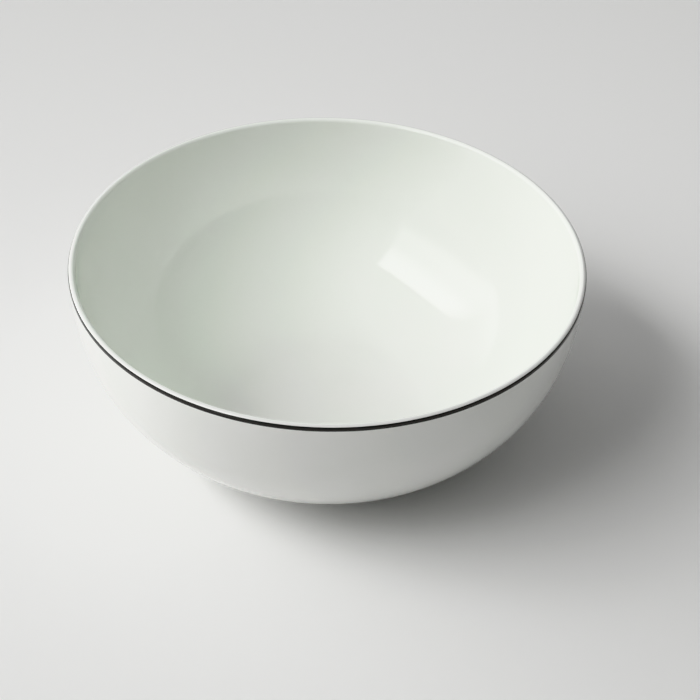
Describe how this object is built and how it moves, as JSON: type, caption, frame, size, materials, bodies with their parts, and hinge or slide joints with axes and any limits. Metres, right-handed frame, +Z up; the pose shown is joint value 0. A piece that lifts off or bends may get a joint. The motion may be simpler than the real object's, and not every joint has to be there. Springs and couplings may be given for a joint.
{
  "type": "serving bowl",
  "caption": "Deep round white glazed porcelain serving bowl on a low bare foot ring, with a fine black enamel line around the outer shoulder of its lip.",
  "frame": {"origin": "on the bowl's axis, in the plane that the foot ring stands on", "axes": "+Z up along the bowl's axis, out of its mouth; X and Y are interchangeable, because the bowl is round"},
  "size_m": [0.25, 0.25, 0.1],
  "materials": {
    "biscuit": "bare vitrified porcelain, matt and fine-grained, polished on the bearing face",
    "glaze": "clear gloss glaze on a cool white porcelain, with a faint green cast where it lies thick",
    "enamel": "gloss black overglaze enamel"
  },
  "bodies": {
    "root": {"bowl_shell": "biscuit", "foot_ring": "biscuit", "inside_glaze": "glaze", "outside_glaze": "glaze", "base_glaze": "glaze", "rim_line": "enamel"}
  },
  "joints": []
}
